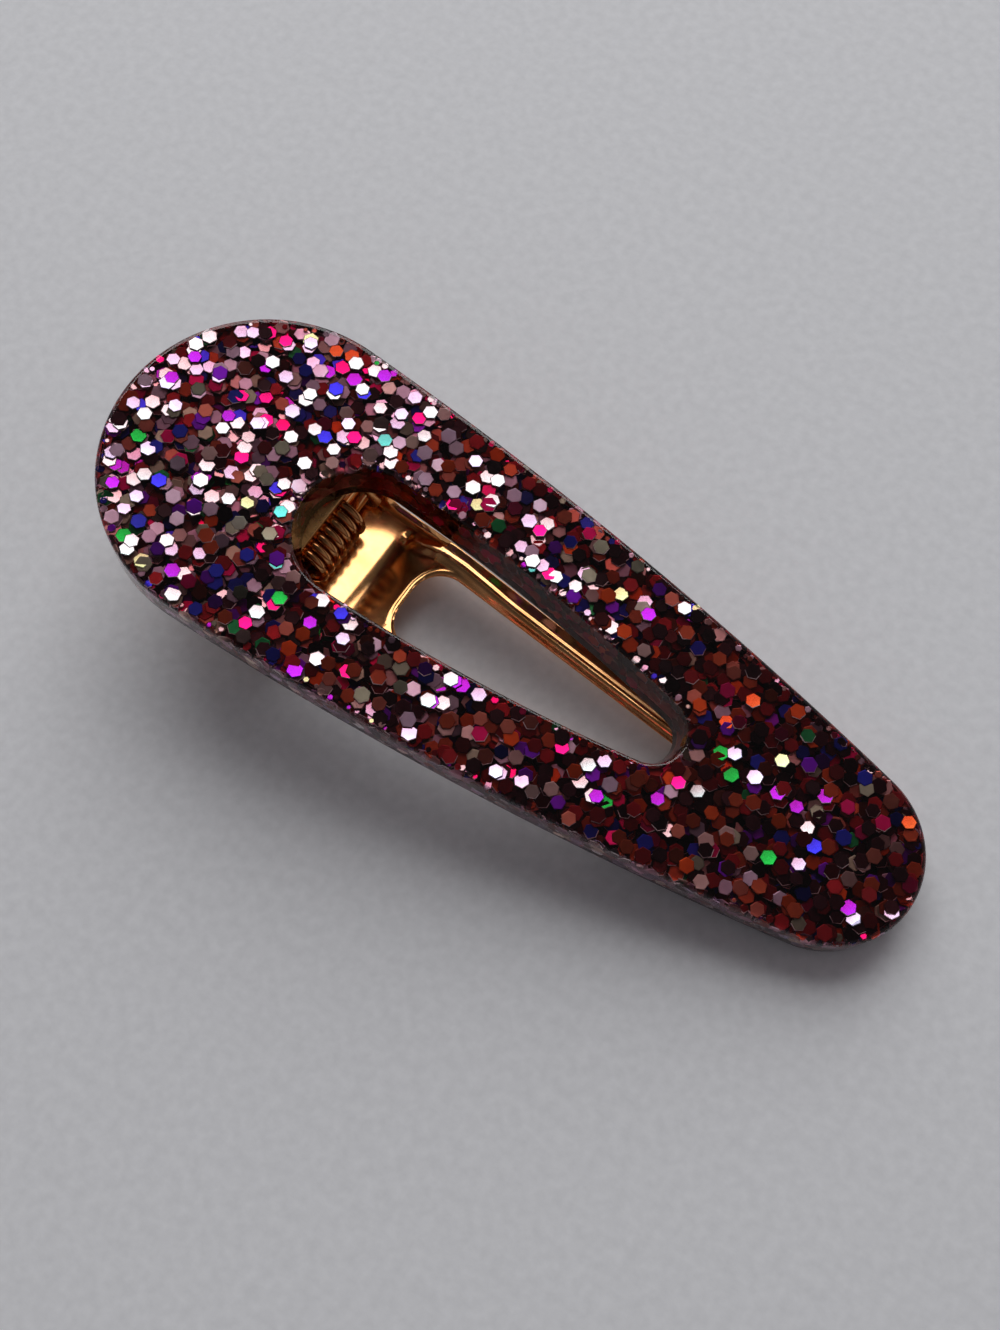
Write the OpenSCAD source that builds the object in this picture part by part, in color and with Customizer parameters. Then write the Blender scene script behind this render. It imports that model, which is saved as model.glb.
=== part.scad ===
/* [Resin plate] */
// Length of the drop-shaped plate
plate_length = 84; // [80:1:90]
// Radius of the plate's wide end
wide_end_r = 15.4; // [14.5:0.1:16.5]
// Radius of the plate's narrow end
narrow_end_r = 8.5; // [7.5:0.1:9.5]
// Radius of the gentle arcs along the plate's two sides
side_arc_r = 370; // [300:10:600]
// Thickness of the plate
plate_t = 4; // [3.5:0.1:4.5]
// Distance from the wide end's edge to the centre of the opening's wide round end
opening_wide_x = 25.9; // [25.5:0.1:27]
// Radius of the opening's wide round end
opening_wide_r = 6.3; // [6:0.1:7]
// Distance from the wide end's edge to the centre of the opening's narrow round end
opening_narrow_x = 57; // [54:0.5:60]
// Radius of the opening's narrow round end
opening_narrow_r = 3.2; // [2.6:0.1:4]
// Radius of the arcs along the opening's two sides
opening_arc_r = 190; // [150:10:300]

/* [Metal sheet] */
// Thickness of the stamped metal
sheet_t = 0.7; // [0.5:0.05:0.8]
// Width of the glue line between the plate and the upper lever
glue_gap = 0.05; // [0.02:0.01:0.1]

/* [Hinge] */
// Distance from the wide end's edge to the hinge axis
hinge_x = 21.8; // [21.5:0.1:22.5]
// Depth of the hinge axis below the plate's top face
hinge_depth = 7.4; // [7.3:0.05:7.6]
// Radius of the hinge pin
pin_r = 0.8; // [0.6:0.05:0.9]
// Running gap round the pin in the ears
pin_gap = 0.08; // [0.05:0.01:0.1]
// Radius of the pin's riveted heads
head_r = 1.4; // [1.2:0.1:1.6]
// Thickness of a riveted head
head_t = 0.4; // [0.3:0.05:0.5]

/* [Upper lever] */
// Distance from the wide end's edge to the back of the upper lever
lever_back_x = 5; // [4:0.5:7]
// Distance from the wide end's edge to the lever's straight front edge
lever_front_x = 21.4; // [21:0.1:21.8]
// Width of the upper lever's pad
lever_w = 12.4; // [12:0.1:12.4]
// Radius of the pad's rear corners
lever_corner_r = 3.5; // [2:0.5:5]
// Width over the outer faces of the upper lever's ears
lever_ear_w = 12.4; // [12:0.1:12.4]
// Radius of the ears round the pin
lever_ear_r = 1.9; // [1.6:0.1:2]

/* [Lower jaw] */
// Distance from the wide end's edge to the tip of the thumb tail
tail_x = 3.5; // [3:0.5:6]
// Distance from the wide end's edge to the bend of the tail
tail_bend_x = 17; // [16:0.5:17.5]
// Slope of the thumb tail away from the plate, in degrees
tail_slope = 18; // [14:1:20]
// Radius of the tail's end corners
tail_corner_r = 2.5; // [2:0.5:3]
// Width of the jaw's base plate, tail and ears
base_w = 14.2; // [14.2:0.1:14.4]
// Depth of the base plate's upper face below the plate's top face
base_depth = 10.1; // [10:0.1:10.5]
// Distance from the wide end's edge to the upward bend in front of the base plate
step_x = 27; // [26.5:0.5:28]
// Slope of the step in front of the base plate, in degrees
step_slope = 20; // [15:1:22]
// Distance from the wide end's edge to the top of the step
arm_x = 30.6; // [30:0.2:31]
// Distance from the wide end's edge to the jaw's tip
jaw_tip_x = 75; // [72:0.5:78]
// Gap between the closed jaw's tip and the plate
tip_gap = 0.15; // [0.1:0.05:0.3]
// Radius of the jaw's wide round shoulder
shoulder_r = 7.1; // [6.8:0.1:7.4]
// Radius of the jaw's round tip
tip_r = 2.5; // [2:0.1:3]
// Distance from the wide end's edge to the hollow's flat rear edge
hollow_x = 31; // [30.8:0.2:32]
// Half width of the hollow at its rear
hollow_half_w = 4.05; // [3.8:0.05:4.2]
// Radius of the hollow's rear corners
hollow_corner_r = 3; // [2:0.1:3.4]
// Distance from the wide end's edge to the centre of the hollow's round front end
hollow_front_x = 67; // [64:0.5:68]
// Radius of the hollow's round front end
hollow_front_r = 0.9; // [0.7:0.1:1.2]
// Radius of the jaw's ears round the pin
jaw_ear_r = 2.3; // [2:0.1:2.5]
// Height of the low flange that runs along the base plate's sides to the arms
flange_h = 1.6; // [1.2:0.1:1.8]
// Radius of the raised rib along each arm
rib_r = 0.45; // [0.35:0.05:0.5]
// Where each rib runs on its arm: 0 at the hollow's edge, 1 at the outer edge
rib_place = 0.35; // [0.35:0.05:0.5]
// How far each rib stands out of its arm
rib_rise = 0.3; // [0.25:0.05:0.3]

/* [Spring] */
// Diameter of the spring wire
wire_d = 0.9; // [0.7:0.05:0.95]
// Outer radius of the coil
coil_r = 2.35; // [2.2:0.05:2.4]
// Spacing of the coil's turns
coil_pitch = 0.98; // [0.97:0.01:1]
// Number of turns that stay with the upper lever
coil_turns = 7; // [6:1:7]
// Reach of the spring's legs behind the hinge axis
leg_reach = 11; // [8:0.5:12]

/* [Hidden] */

// Depths below the plate's top face, as heights in the plate's own frame
plate_under_z = -plate_t;
lever_top_z = plate_under_z - glue_gap;
lever_under_z = lever_top_z - sheet_t;
hinge_z = -hinge_depth;
base_z = -base_depth;
tip_z = plate_under_z - tip_gap;

// Corners of the jaw's upper face seen from the side, from the tail's end to the tip
tail_z = base_z - (tail_bend_x - tail_x) * tan(tail_slope);
arm_z = base_z + (arm_x - step_x) * tan(step_slope);
arm_slope = atan((tip_z - arm_z) / (jaw_tip_x - arm_x));
jaw_line = [[tail_x, tail_z], [tail_bend_x, base_z], [step_x, base_z], [arm_x, arm_z], [jaw_tip_x, tip_z]];

// Bend radius of the sheet, and the number of points on each bend
bend_r = 5;
bend_steps = 6;

// Ears: inner and outer faces, as distances from the middle plane
lever_ear_out = lever_ear_w / 2;
lever_ear_in = lever_ear_out - sheet_t;
jaw_ear_out = base_w / 2;
jaw_ear_in = jaw_ear_out - sheet_t;
lever_ear_back_x = 15.5;
jaw_ear_back_x = 18;
jaw_ear_front_x = 25.6;
// How far the jaw's flanges run on under the arms' upper faces, past the top of the step
flange_lead = 2;

// Spring: radius to the middle of the wire, and where its two ends lie across the clip
wire_r = wire_d / 2;
coil_mid_r = coil_r - wire_r;
coil_far_y = 3;
coil_near_y = coil_far_y - coil_turns * coil_pitch;
// Gap between the coil and the turn that the lower leg starts with, and where that turn starts and ends
turn_gap = 0.16;
leg_turn_y = coil_near_y - wire_d - turn_gap;
leg_turn_start = 235;
leg_turn_end = 540;
// Gap between the lower leg and the metal that it presses on, and how it bends to follow the tail
leg_gap = 0.12;
leg_bend_lead = 1.2;
leg_bend_lag = 1;
leg_bend_drop = 0.25;
// Rise of the upper leg towards its end, under the upper lever
upper_leg_rise = 0.12;
upper_leg_steps = 3;
// Facets: sides of the wire, and steps in one turn
wire_sides = 8;
turn_steps = 16;

// Rest: the clip lies on the tail's end and on the plate's narrow end
tail_end = [tail_x + sheet_t * sin(tail_slope), tail_z - sheet_t * cos(tail_slope)];
rest_tilt = atan((plate_under_z - tail_end[1]) / (plate_length - tail_end[0]));
rest_back_x = plate_under_z * sin(rest_tilt);
rest_front_x = plate_length * cos(rest_tilt);
rest_low_z = -plate_length * sin(rest_tilt) + plate_under_z * cos(rest_tilt);

// Straight sides lie this far inside the round ends that they run into
side_sink = 0.01;
// Facets of a full circle: in general, and for a drop's wide end, narrow end and side arcs
$fn = 64;
wide_fn = 180;
narrow_fn = 120;
arc_fn = 1440;

// Places a shape of the plate's own frame as it lies at rest
module at_rest() {
    translate([-(rest_back_x + rest_front_x) / 2, 0, -rest_low_z])
        rotate([0, rest_tilt, 0])
            children();
}

// Centre of the arc along the +Y side of a drop that touches two round ends from inside
function side_centre(x1, r1, x2, r2, side_r) =
    let (d = x2 - x1, a = side_r - r1, b = side_r - r2, u = (d * d + a * a - b * b) / (2 * d))
    [x1 + u, -sqrt(a * a - u * u)];

// Point where a round end meets the side arc
function touch_point(x, r, centre) =
    let (v = [x, 0] - centre) [x, 0] + v / norm(v) * r;

// Drop shape: two round ends joined by long arcs that touch both, with a facet and no corner at the narrow tip
module drop(x1, r1, x2, r2, side_r) {
    centre = side_centre(x1, r1, x2, r2, side_r);
    wide = touch_point(x1, r1, centre);
    narrow = touch_point(x2, r2, centre);
    reach = [0, side_r / 100];
    translate([x1, 0]) circle(r1, $fn = wide_fn);
    translate([x2, 0]) rotate(180 / narrow_fn) circle(r2, $fn = narrow_fn);
    intersection() {
        translate(centre) circle(side_r, $fn = arc_fn);
        translate([centre[0], -centre[1]]) circle(side_r, $fn = arc_fn);
        polygon([
            [wide[0], -wide[1]] - reach, [narrow[0], -narrow[1]] - reach,
            narrow + reach, wide + reach
        ]);
    }
}

// Tapered shape: straight sides from a pair of wide corner circles, or one circle, to a narrow round end
module taper(x1, corner_y, r1, x2, r2) {
    lean = asin((r1 - r2) / norm([x2 - x1, corner_y])) + atan(corner_y / (x2 - x1));
    side = [sin(lean), cos(lean)];
    wide = [x1, corner_y] + side * (r1 - side_sink);
    narrow = [x2, 0] + side * (r2 - side_sink);
    for (s = [-1, 1])
        translate([x1, s * corner_y]) circle(r1);
    translate([x2, 0]) circle(r2);
    polygon([[wide[0], -wide[1]], [narrow[0], -narrow[1]], narrow, wide]);
}

// Upright shape between two distances across the clip, drawn in the side view
module across(y0, y1) {
    translate([0, y1, 0]) rotate([90, 0, 0]) linear_extrude(y1 - y0) children();
}

// Points of a line whose inner corners are rounded to a bend radius
function bent(line, r) = [
    line[0],
    for (i = [1 : len(line) - 2])
        let (
            a = line[i] - line[i - 1], b = line[i + 1] - line[i],
            ua = a / norm(a), ub = b / norm(b),
            turn = asin(ua[0] * ub[1] - ua[1] * ub[0]),
            cut = r * tan(abs(turn) / 2),
            start = line[i] - ua * cut,
            side = sign(turn) * [-ua[1], ua[0]],
            centre = start + side * r
        )
        for (k = [0 : bend_steps])
            let (
                t = turn * k / bend_steps,
                v = start - centre
            )
            centre + [v[0] * cos(t) - v[1] * sin(t), v[0] * sin(t) + v[1] * cos(t)],
    line[len(line) - 1]
];

// Direction of a line at one of its points
function heading(p, i) =
    let (d = p[min(i + 1, len(p) - 1)] - p[max(i - 1, 0)]) d / norm(d);

// The same line moved down by the sheet's thickness
function under(p) = [for (i = [0 : len(p) - 1]) let (h = heading(p, i)) p[i] + [h[1], -h[0]] * sheet_t];

function backwards(p) = [for (i = [len(p) - 1 : -1 : 0]) p[i]];

module resin_plate() {
    color([0.36, 0.13, 0.2])
        at_rest()
            translate([0, 0, plate_under_z])
                linear_extrude(plate_t)
                    difference() {
                        drop(wide_end_r, wide_end_r, plate_length - narrow_end_r, narrow_end_r, side_arc_r);
                        drop(opening_wide_x, opening_wide_r, opening_narrow_x, opening_narrow_r, opening_arc_r);
                    }
}

// Ear in the side view: a round end about the pin that widens up to the pad
module lever_ear() {
    low = lever_ear_r * cos(45);
    translate([hinge_x, hinge_z]) circle(lever_ear_r);
    polygon([
        [lever_ear_back_x, lever_top_z], [lever_ear_back_x, lever_under_z],
        [hinge_x - low, hinge_z - low], [hinge_x + lever_ear_r, hinge_z],
        [lever_front_x, lever_under_z], [lever_front_x, lever_top_z]
    ]);
}

module upper_lever() {
    color([0.8, 0.58, 0.32])
        at_rest()
            difference() {
                union() {
                    translate([0, 0, lever_under_z])
                        linear_extrude(sheet_t)
                            lever_pad();
                    for (y = [-lever_ear_out, lever_ear_in])
                        across(y, y + sheet_t) lever_ear();
                }
                pin_hole();
            }
}

// Pad outline: straight front edge and two rounded rear corners
module lever_pad() {
    half = lever_w / 2;
    rear = lever_back_x + lever_corner_r;
    for (s = [-1, 1])
        translate([rear, s * (half - lever_corner_r)]) circle(lever_corner_r);
    translate([lever_back_x, -half + lever_corner_r]) square([lever_corner_r, lever_w - 2 * lever_corner_r]);
    translate([rear, -half]) square([lever_front_x - rear, lever_w]);
}

module pin_hole() {
    translate([hinge_x, base_w, hinge_z])
        rotate([90, 0, 0])
            cylinder(r = pin_r + pin_gap, h = 2 * base_w);
}

module hinge_pin() {
    color([0.74, 0.52, 0.28])
        at_rest()
            translate([hinge_x, 0, hinge_z])
                rotate([90, 0, 0]) {
                    cylinder(r = pin_r, h = base_w + 2 * glue_gap, center = true);
                    for (s = [-1, 1])
                        translate([0, 0, s * (jaw_ear_out + glue_gap + head_t / 2)])
                            cylinder(r = head_r, h = head_t, center = true);
                }
}

// Jaw outline from above: tail, base, shoulder and arms, with the hollow cut out
module jaw_outline() {
    difference() {
        union() {
            tail_corner_y = jaw_ear_out - tail_corner_r;
            for (s = [-1, 1])
                translate([tail_x + tail_corner_r, s * tail_corner_y]) circle(tail_corner_r);
            translate([tail_x, -tail_corner_y]) square([tail_corner_r, 2 * tail_corner_y]);
            translate([tail_x + tail_corner_r, -jaw_ear_out])
                square([hollow_x - tail_x - tail_corner_r, base_w]);
            taper(hollow_x, 0, shoulder_r, jaw_tip_x - tip_r, tip_r);
        }
        jaw_hollow();
    }
}

// Long hollow between the arms: flat rear edge, two rounded rear corners and a round front end
module jaw_hollow() {
    corner_y = hollow_half_w - hollow_corner_r;
    translate([hollow_x, -corner_y]) square([hollow_corner_r, 2 * corner_y]);
    taper(hollow_x + hollow_corner_r, corner_y, hollow_corner_r, hollow_front_x, hollow_front_r);
}

// Jaw's side in the side view: an ear round the pin, and the low flange that runs on to the arm
module jaw_ear() {
    sink = sheet_t / 2;
    flange_z = base_z + flange_h;
    translate([hinge_x, hinge_z]) circle(jaw_ear_r);
    polygon([
        [jaw_ear_back_x, base_z - sink], [step_x, base_z - sink], [arm_x, arm_z - sink],
        [arm_x + flange_lead, arm_z + flange_lead * tan(arm_slope) - sink],
        [step_x, flange_z], [jaw_ear_front_x, flange_z],
        [hinge_x + jaw_ear_r, hinge_z], [hinge_x - jaw_ear_r, hinge_z]
    ]);
}

// Rib along one arm, a round bar sunk in the arm's upper face
module rib(side) {
    start = [hollow_x, side * (hollow_half_w + rib_place * (shoulder_r - hollow_half_w))];
    end = [hollow_front_x + tip_r, side * (hollow_front_r + rib_place * (tip_r - hollow_front_r))];
    sink = rib_r - rib_rise;
    start_z = arm_z + (start[0] - arm_x) * tan(arm_slope) - sink;
    run = [end[0] - start[0], end[1] - start[1], (end[0] - start[0]) * tan(arm_slope)];
    translate([start[0], start[1], start_z])
        rotate([0, 90 - atan2(run[2], norm([run[0], run[1]])), atan2(run[1], run[0])])
            cylinder(r = rib_r, h = norm(run));
}

module lower_jaw() {
    top = bent(jaw_line, bend_r);
    color([0.83, 0.6, 0.33])
        at_rest()
            difference() {
                union() {
                    intersection() {
                        across(-base_w, base_w) polygon(concat(top, backwards(under(top))));
                        translate([0, 0, 3 * tail_z]) linear_extrude(-3 * tail_z) jaw_outline();
                    }
                    for (y = [-jaw_ear_out, jaw_ear_in])
                        across(y, y + sheet_t) jaw_ear();
                    for (s = [-1, 1]) rib(s);
                }
                pin_hole();
            }
}

// Ring of points round a wire at a point, square to its direction
function wire_ring(p, dir) =
    let (
        u = cross(dir, [0, 1, 0]), flat = norm(u) < 0.001,
        side = flat ? [1, 0, 0] : u / norm(u),
        up = cross(side, dir)
    )
    [for (k = [0 : wire_sides - 1])
        let (t = 360 * k / wire_sides) p + wire_r * (side * cos(t) + up * sin(t))];

// Direction of a path in space at one of its points
function path_heading(p, i) =
    let (d = p[min(i + 1, len(p) - 1)] - p[max(i - 1, 0)]) d / norm(d);

// Round wire along a path
module wire(path) {
    n = len(path);
    points = [for (i = [0 : n - 1]) each wire_ring(path[i], path_heading(path, i))];
    function at(i, k) = i * wire_sides + k % wire_sides;
    faces = concat(
        [[for (k = [0 : wire_sides - 1]) k]],
        [for (i = [0 : n - 2], k = [0 : wire_sides - 1])
            [at(i, k), at(i + 1, k), at(i + 1, k + 1), at(i, k + 1)]],
        [[for (k = [wire_sides - 1 : -1 : 0]) (n - 1) * wire_sides + k]]
    );
    polyhedron(points, faces, convexity = 10);
}

// Point on the coil: angle from the top, turning forwards and down, and place across the clip
function coil_point(turn, y) = [hinge_x + coil_mid_r * sin(turn), y, hinge_z + coil_mid_r * cos(turn)];

// Coil with the leg that lies under the upper lever at the far side
module spring() {
    top = [hinge_x, coil_far_y, hinge_z + coil_mid_r];
    leg = [for (k = [upper_leg_steps : -1 : 1])
        top + [-leg_reach, 0, upper_leg_rise] * k / upper_leg_steps];
    coil = [for (i = [0 : coil_turns * turn_steps])
        coil_point(360 * i / turn_steps, coil_far_y - coil_pitch * i / turn_steps)];
    color([0.6, 0.42, 0.25]) at_rest() wire(concat(leg, coil));
}

// Last turn of the same wire at the near side, and the leg that lies on the jaw's tail
module spring_lower_leg() {
    sweep = leg_turn_end - leg_turn_start;
    n = ceil(sweep / 360 * turn_steps);
    turn = [for (i = [0 : n]) coil_point(leg_turn_start + sweep * i / n, leg_turn_y)];
    coil_low_z = hinge_z - coil_mid_r;
    bend_x = tail_bend_x + leg_bend_lead;
    tail_start = [tail_bend_x - leg_bend_lag, leg_turn_y, base_z + wire_r + leg_gap - leg_bend_drop];
    leg_x = hinge_x - leg_reach;
    leg_end_z = base_z - (tail_bend_x - leg_x) * tan(tail_slope) + (wire_r + leg_gap) / cos(tail_slope);
    leg_end = [leg_x, leg_turn_y, leg_end_z];
    leg = [
        [(hinge_x + bend_x) / 2, leg_turn_y, coil_low_z],
        [bend_x, leg_turn_y, coil_low_z],
        tail_start,
        (tail_start + leg_end) / 2,
        leg_end
    ];
    color([0.6, 0.42, 0.25]) at_rest() wire(concat(turn, leg));
}

resin_plate();
upper_lever();
hinge_pin();
spring();
spring_lower_leg();
lower_jaw();
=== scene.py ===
import random
from math import asin, atan, atan2, cos, exp, hypot, pi, radians, sin, sqrt, tan, tau

import bmesh
import bpy
import numpy as np
from mathutils import Matrix, Vector, noise


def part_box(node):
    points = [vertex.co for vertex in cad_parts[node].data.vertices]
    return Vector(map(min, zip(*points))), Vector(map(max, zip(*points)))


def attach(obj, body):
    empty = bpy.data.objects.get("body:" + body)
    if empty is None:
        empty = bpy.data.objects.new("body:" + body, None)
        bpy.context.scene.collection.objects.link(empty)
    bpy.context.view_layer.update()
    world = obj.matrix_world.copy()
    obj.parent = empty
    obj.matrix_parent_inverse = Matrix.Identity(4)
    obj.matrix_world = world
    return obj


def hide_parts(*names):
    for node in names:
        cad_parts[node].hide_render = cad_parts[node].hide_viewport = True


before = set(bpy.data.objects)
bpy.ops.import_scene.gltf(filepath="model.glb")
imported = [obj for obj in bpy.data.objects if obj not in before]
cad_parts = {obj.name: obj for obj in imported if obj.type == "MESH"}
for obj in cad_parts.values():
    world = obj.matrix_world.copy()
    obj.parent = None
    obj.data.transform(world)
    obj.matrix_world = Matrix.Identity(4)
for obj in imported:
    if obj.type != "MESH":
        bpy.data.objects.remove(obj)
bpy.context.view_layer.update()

MM = 0.001
UP = Vector((0, 0, 1))

# Resin plate, in its own frame: top face at z = 0, wide end's edge at x = 0
PLATE_L = 84 * MM
PLATE_T = 4 * MM
WIDE_R = 15.4 * MM
NARROW_R = 8.5 * MM
SIDE_R = 370 * MM
OPEN_WIDE_X, OPEN_WIDE_R = 25.9 * MM, 6.3 * MM
OPEN_NARROW_X, OPEN_NARROW_R = 57 * MM, 3.2 * MM
OPEN_SIDE_R = 190 * MM
TOP_EDGE_R = 0.5 * MM
OPEN_EDGE_R = 0.36 * MM
UNDER_EDGE_R = 0.3 * MM
# Flat border that a face and a wall keep beside a rounded edge
EDGE_FLAT = 0.08 * MM
# How far the opening's wall leans in between its top and its foot
OPEN_DRAFT = 0.75 * MM
# Points along an outline's wide end, first side, narrow end and second side
ARC_POINTS = (72, 60, 40, 60)
# How far the clear skin stays inside the solid
SKIN_GAP = 0.006 * MM
# Dark core deep in the plate
CORE_INSET, CORE_EDGE_R = 0.8 * MM, 0.2 * MM
CORE_TOP_Z, CORE_UNDER_Z = -2 * MM, -PLATE_T + 0.6 * MM

# Metal sheet, hinge and upper lever
SHEET_T = 0.7 * MM
SHEET_EDGE_R = 0.14 * MM
HINGE = (21.8 * MM, -7.4 * MM)
PIN_R = 0.8 * MM
HEAD_R, HEAD_T = 1.4 * MM, 0.4 * MM
HEAD_FACE_Y = 7.15 * MM
# Half section of a riveted head: distance out from its inner face, and radius
HEAD_PROFILE = (
    (0, PIN_R), (0, HEAD_R - 0.05 * MM), (0.05 * MM, HEAD_R), (0.14 * MM, HEAD_R),
    (0.26 * MM, 1.25 * MM), (0.34 * MM, 1 * MM), (HEAD_T - 0.02 * MM, 0.6 * MM), (HEAD_T, 0.25 * MM))
PIN_SIDES = 32
LEVER_BACK_X, LEVER_FRONT_X = 5 * MM, 21.4 * MM
LEVER_HALF_W = 6.2 * MM
LEVER_CORNER_R = 3.5 * MM
LEVER_TOP_Z = -4.05 * MM
LEVER_EAR_Y = 5.5 * MM
LEVER_EAR_R = 1.9 * MM
LEVER_EAR_BACK_X = 15.5 * MM
# Corners of an ear above its round part, from the ear's back or the lever's front: distance ahead, and
# depth below the middle of the lever's sheet
LEVER_EAR_BACK = ((0, 0), (0.3 * MM, 0.5 * MM))
LEVER_EAR_FRONT = ((0.1 * MM, 0.8 * MM), (-0.3 * MM, 0))

# Lower jaw
TAIL_X, TAIL_BEND_X, TAIL_SLOPE = 3.5 * MM, 17 * MM, 18
TAIL_CORNER_R = 2.5 * MM
BASE_HALF_W = 7.1 * MM
BASE_Z = -10.1 * MM
STEP_X, STEP_SLOPE, ARM_X = 27 * MM, 20, 30.6 * MM
TIP_X, TIP_Z = 75 * MM, -4.15 * MM
SHOULDER_R, TIP_R = 7.1 * MM, 2.5 * MM
HOLLOW_X, HOLLOW_HALF_W, HOLLOW_CORNER_R = 31 * MM, 4.05 * MM, 3 * MM
HOLLOW_FRONT_X, HOLLOW_FRONT_R = 67 * MM, 0.9 * MM
HOLLOW_CORNER_X, HOLLOW_CORNER_Y = HOLLOW_X + HOLLOW_CORNER_R, HOLLOW_HALF_W - HOLLOW_CORNER_R
HOLLOW_END_X = HOLLOW_FRONT_X + HOLLOW_FRONT_R
JAW_EAR_Y = 6.4 * MM
JAW_EAR_R = 2.3 * MM
JAW_EAR_BACK_X, JAW_EAR_FRONT_X = 18 * MM, 25.35 * MM
FLANGE_H, FLANGE_LEAD = 1.6 * MM, 2 * MM
# The base falls by DIP between two places, and the step rises from there to the arms at RISE_END_X
DIP_BACK_X, DIP_X, DIP = 20 * MM, 27 * MM, 0.48 * MM
RISE_END_X = 31.4 * MM
BEND_RADII = (5 * MM, 20 * MM, 4.5 * MM, 5 * MM)
# How far the side view's line runs past the sheet's ends
PROFILE_LEAD = 1 * MM
# Mesh columns of the jaw and the lever in millimetres: first, end and distance apart
BASE_COLUMNS = ((6, 14.9, 0.8), (15, 19, 0.25), (19, 26, 0.5))
ARM_COLUMNS = (34.6, 66.9, 0.6)
NOSE_COLUMNS = (68.4, 72.3, 0.5)
LEVER_COLUMNS = (9, 21.3, 0.8)
# Number of even columns from a place on the base to the hollow
STEP_COLUMNS, STEP_COLUMNS_X = 31, 26 * MM
# Mesh cells across one of the jaw's bars, beside its middle line, and across half of the lever
BAR_CELLS, MIDDLE_CELLS, LEVER_CELLS = 16, 3, 12

# Spring
WIRE_R = 0.45 * MM
WIRE_SIDES = 14
# Rounded ends of the wire: share of its radius, and distance past the end of its path
WIRE_END = ((0.35, 0.12 * MM), (0.8, 0.05 * MM))
COIL_R = 1.9 * MM
COIL_PITCH = 0.98 * MM
COIL_TURNS = 7
COIL_FAR_Y = 3 * MM
COIL_STEPS = 44
# Last turn, which rides on the jaw: gap to the coil, first and last degree, and steps
TURN_GAP = 0.16 * MM
TURN_START, TURN_END, TURN_STEPS = 235, 540, 40
LEG_REACH = 11 * MM
UPPER_LEG_RISE, UPPER_LEG_STEPS = 0.1 * MM, 12
# Lower leg: its bends, its gap to the tail, and the places of both bends from the tail's bend
LEG_BEND_R = 2.5 * MM
LEG_GAP = 0.12 * MM
LEG_TURN_AHEAD, LEG_LAND_BEHIND, LEG_LAND_DROP = 1.2 * MM, 1 * MM, 0.25 * MM
LEG_CUTS = 4

# Camera, fitted to the plate's outline in the photograph
CAMERA_AZIMUTH = 20.4292
CAMERA_ELEVATION = 72.4427
CAMERA_ROLL = 14.3881
CAMERA_TARGET = Vector((42.9166, -3.0391, 0)) * MM
CAMERA_DISTANCE = 140.68 * MM
FOCAL_PIXELS = 1600
IMAGE_HEIGHT = 1330
SENSOR = 36

# Lights: azimuth and elevation in degrees, distance and size in metres, watts
WINDOW = (121, 37, 1.2, (1.3, 1.1), 11.4)
CARD = (78, 76, 0.8, (0.22, 0.52), 1.1)
GLOW = (159, 39, 0.5, (0.2, 0.3), 0.06)
GLOW_COLOUR = (1, 0.8, 0.55)
# Room light on the camera's side and opposite, and the range of a direction's Y in which it changes
ROOM_BEHIND = (0.55, 0.52, 0.56, 1)
ROOM_AHEAD = (0.93, 0.91, 0.95, 1)
ROOM_CHANGE = (-0.5, 0.5)
ROOM_STRENGTH = 0.28
# Share of the room light that is left overhead, and the sines of elevation between which it fades
CEILING_SHARE = 0.25
CEILING_FADE = (0.6, 0.9)

RESIN_IOR = 1.5
RESIN_TINT = (0.79, 0.29, 0.33, 1)
RESIN_DENSITY = 1300


def plate_to_row():
    """Matrix from the plate's own frame to the row frame, worked out from the plate's box at rest."""
    low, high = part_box("resin_plate")
    width, height = high.x - low.x, high.z - low.z
    scale = PLATE_L ** 2 - PLATE_T ** 2
    c = (PLATE_L * width - PLATE_T * height) / scale
    s = (PLATE_L * height - PLATE_T * width) / scale
    return Matrix(((c, 0, s, low.x + PLATE_T * s), (0, 1, 0, 0), (-s, 0, c, high.z), (0, 0, 0, 1)))


REST = plate_to_row()


def new_object(name, data):
    """New object in the scene."""
    piece = bpy.data.objects.new(name, data)
    bpy.context.scene.collection.objects.link(piece)
    return piece


def mesh_object(name, verts, faces, body, materials, smooth=True):
    """New closed piece from points in the plate's frame, riding on a body."""
    mesh = bpy.data.meshes.new(name)
    mesh.from_pydata([tuple(v) for v in verts], [], faces)
    mesh.transform(REST)
    mesh.polygons.foreach_set("use_smooth", [smooth] * len(mesh.polygons))
    for material in materials:
        mesh.materials.append(material)
    piece = new_object(name, mesh)
    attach(piece, body)
    return piece


def outward(piece):
    """Turns a closed mesh's faces outwards."""
    mesh = bmesh.new()
    mesh.from_mesh(piece.data)
    bmesh.ops.recalc_face_normals(mesh, faces=mesh.faces)
    mesh.to_mesh(piece.data)
    mesh.free()


def joined(parts):
    """Vertices and faces of several closed shapes as one list."""
    verts, faces = [], []
    for part_verts, part_faces in parts:
        base = len(verts)
        verts += [tuple(v) for v in part_verts]
        faces += [tuple(base + i for i in face) for face in part_faces]
    return verts, faces


# Drop outlines

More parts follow.
